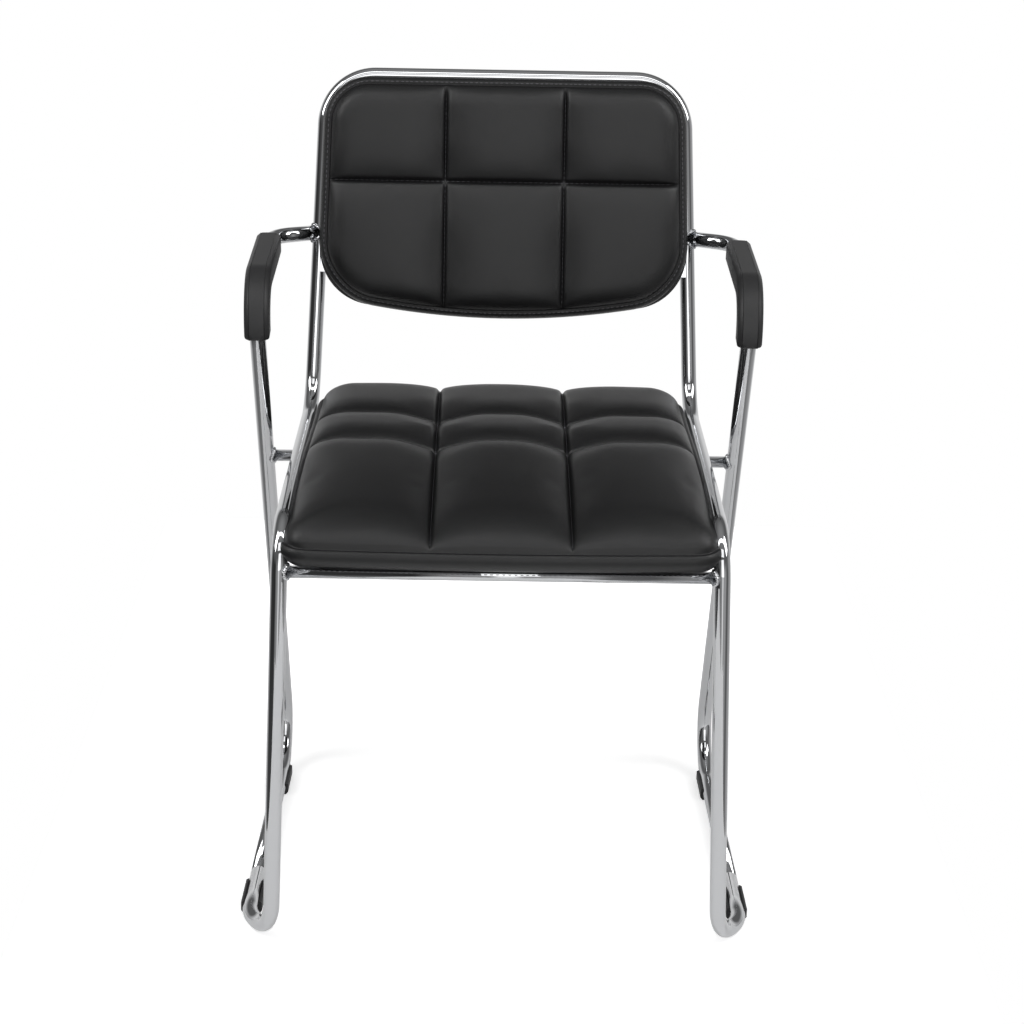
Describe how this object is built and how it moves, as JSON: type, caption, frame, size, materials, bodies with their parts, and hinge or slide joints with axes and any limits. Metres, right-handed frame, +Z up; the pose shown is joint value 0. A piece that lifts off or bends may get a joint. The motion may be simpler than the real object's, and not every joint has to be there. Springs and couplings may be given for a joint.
{
  "type": "visitor chair",
  "caption": "Stackable visitor chair with a bent chromed tube frame on sled runners, arms with moulded pads, and a quilted black seat and back.",
  "frame": {"origin": "on the floor, under the middle of the chair", "axes": "+Z up, the front of the seat towards -Y, +X to the left of a person who sits in it"},
  "size_m": [0.518, 0.51, 0.79],
  "materials": {
    "chrome_tube": "polished chrome plating on steel tube",
    "chrome_lugs": "chrome plating on welded steel tabs",
    "steel_inner": "bare turned steel",
    "zinc_fasteners": "zinc plated",
    "black_plastic": "moulded black plastic, fine grain",
    "black_leatherette": "black imitation leather, satin, fine grain",
    "plywood": "raw bent plywood",
    "dust_cloth": "black non-woven cloth",
    "black_shell": "black shell board"
  },
  "bodies": {
    "root": {"arm_pad_left": "black_plastic", "arm_pad_right": "black_plastic", "arm_pad_screws": "zinc_fasteners", "back_board": "plywood", "back_cushion": "black_leatherette", "back_lugs": "chrome_lugs", "back_rear_cover": "black_shell", "back_screws": "zinc_fasteners", "back_t_nuts": "zinc_fasteners", "back_washers": "zinc_fasteners", "front_crossbar": "chrome_tube", "glide_front_left": "black_plastic", "glide_front_right": "black_plastic", "glide_rear_left": "black_plastic", "glide_rear_right": "black_plastic", "main_frame_tube": "chrome_tube", "mid_crossbar": "chrome_tube", "runner_sleeves": "steel_inner", "seat_board": "plywood", "seat_cushion": "black_leatherette", "seat_lugs": "chrome_lugs", "seat_screws": "zinc_fasteners", "seat_t_nuts": "zinc_fasteners", "seat_underside_cover": "dust_cloth", "seat_washers": "zinc_fasteners", "side_tube_left": "chrome_tube", "side_tube_right": "chrome_tube"}
  },
  "joints": []
}
